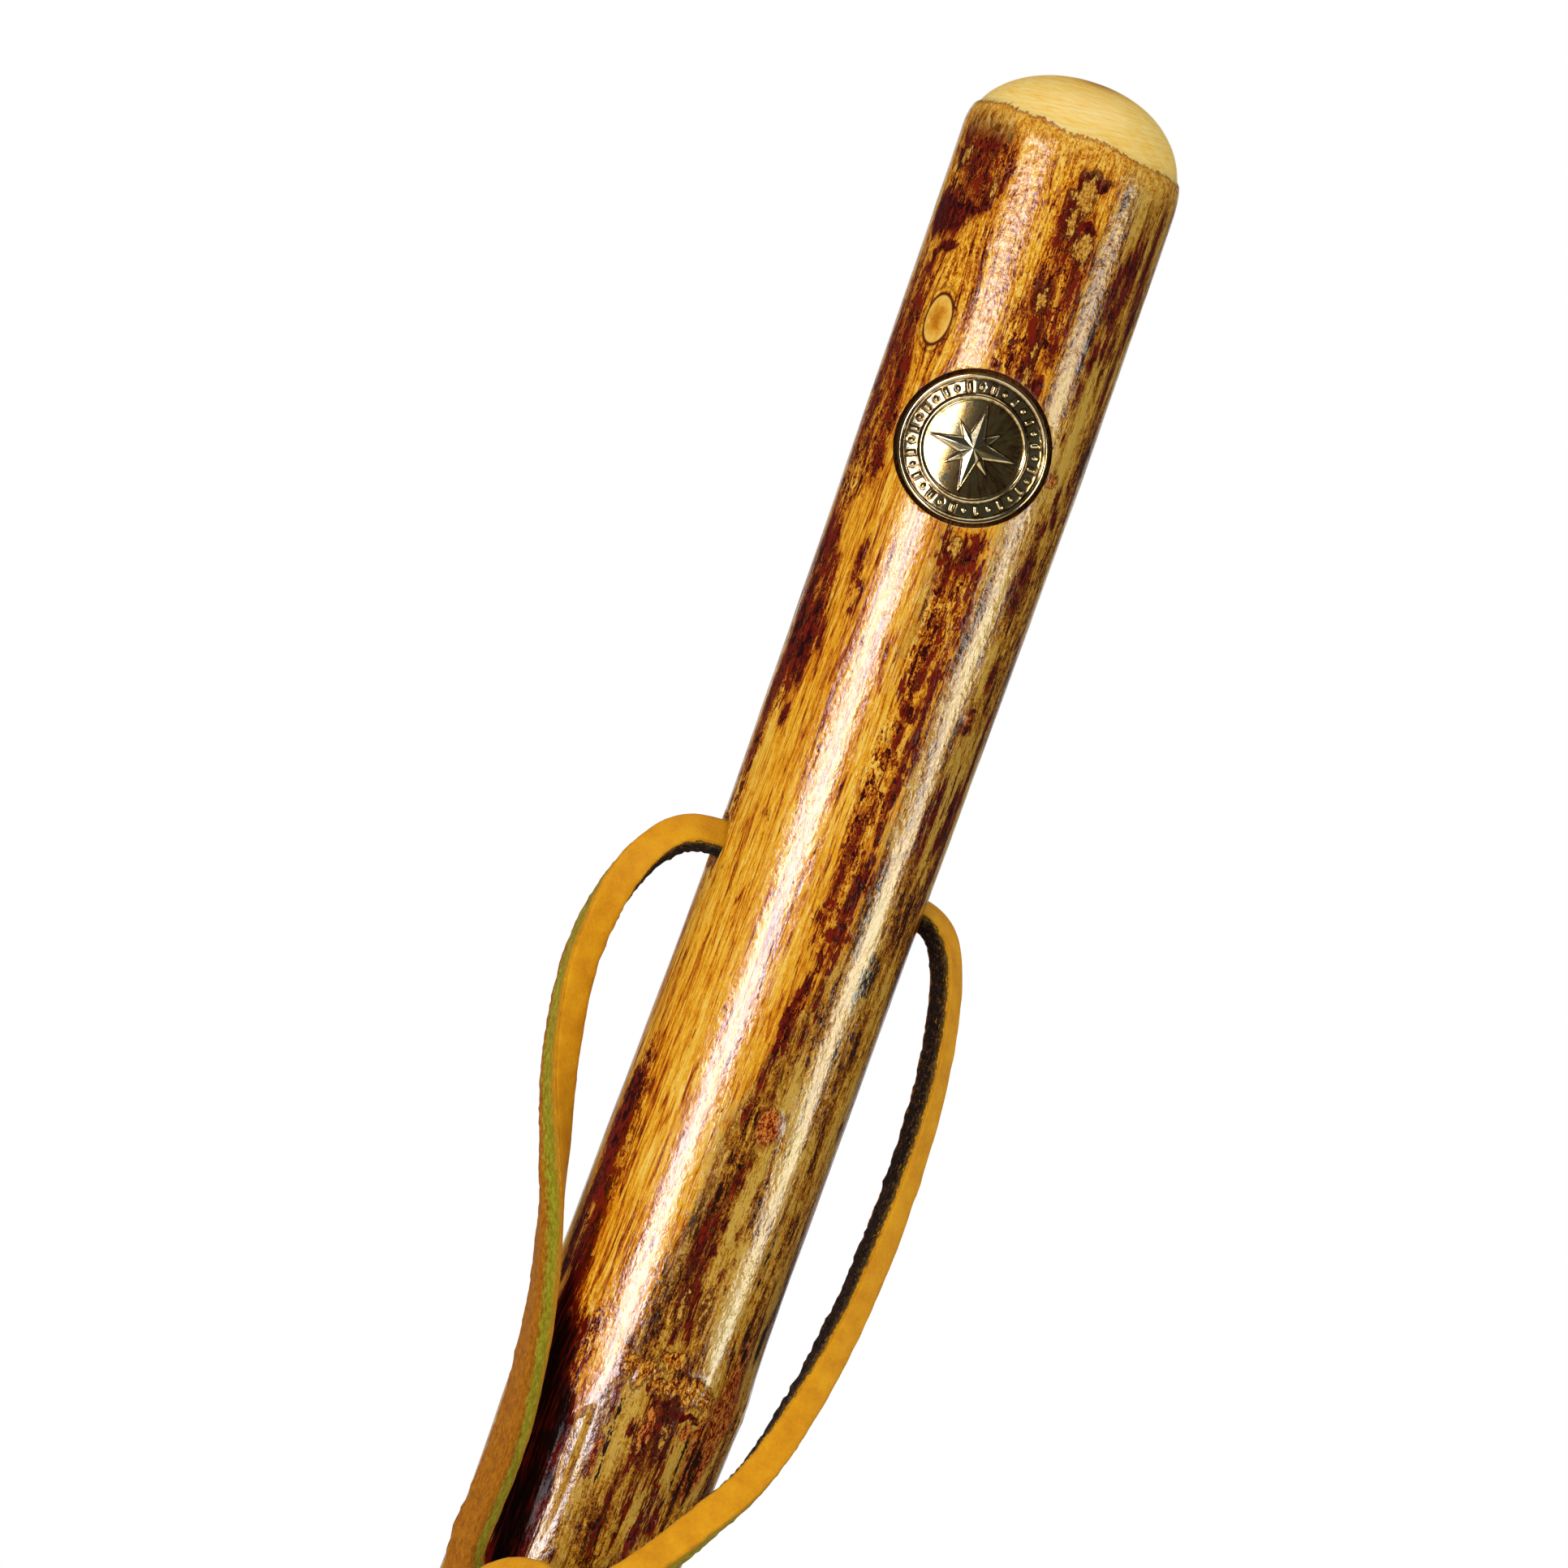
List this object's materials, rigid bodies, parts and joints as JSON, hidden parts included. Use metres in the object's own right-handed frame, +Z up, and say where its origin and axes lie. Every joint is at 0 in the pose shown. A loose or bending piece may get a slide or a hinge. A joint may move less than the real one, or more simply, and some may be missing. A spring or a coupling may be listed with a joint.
{
  "type": "walking staff",
  "caption": "Straight rustic hardwood walking staff with a rounded top, an inlaid brass medallion, a leather wrist lanyard through a cross hole and a rubber ferrule.",
  "frame": {"origin": "centre of the ferrule's ground face", "axes": "+Z up the shaft from the ground face, -Y the way the medallion faces, +X to the right of someone who looks at the medallion"},
  "size_m": [0.0534, 0.0488, 1.2192],
  "materials": {
    "varnished_wood": "bark-on hardwood under clear gloss varnish: golden to maroon brown streaks, olive tan bark, pale peeled top",
    "antique_brass": "struck brass with dark antiquing in its low parts",
    "adhesive": "cured adhesive, out of sight",
    "golden_leather": "square-cut lace, golden yellow grain face, orange brown back, olive fibrous cut edges",
    "black_rubber": "moulded matte black rubber",
    "zinc_steel": "zinc plated steel, out of sight"
  },
  "bodies": {
    "shaft": {"wooden_shaft": "varnished_wood", "medallion": "antique_brass", "medallion_adhesive": "adhesive"},
    "ferrule": {"rubber_ferrule": "black_rubber", "ferrule_washer": "zinc_steel"},
    "lanyard": {"lanyard_loop": "golden_leather", "lanyard_knot": "golden_leather", "lanyard_tail_left": "golden_leather", "lanyard_tail_right": "golden_leather"}
  },
  "joints": [
    {"name": "lanyard_swing", "type": "hinge", "parent": "shaft", "child": "lanyard", "pos_m": [0.00569, 0, 1.1099], "axis": [-0.9848, -0.1736, 0], "range_deg": [0, 150]},
    {"name": "ferrule_slide", "type": "slide", "parent": "shaft", "child": "ferrule", "axis": [0, 0, -1], "range_m": [0, 0.045]}
  ]
}
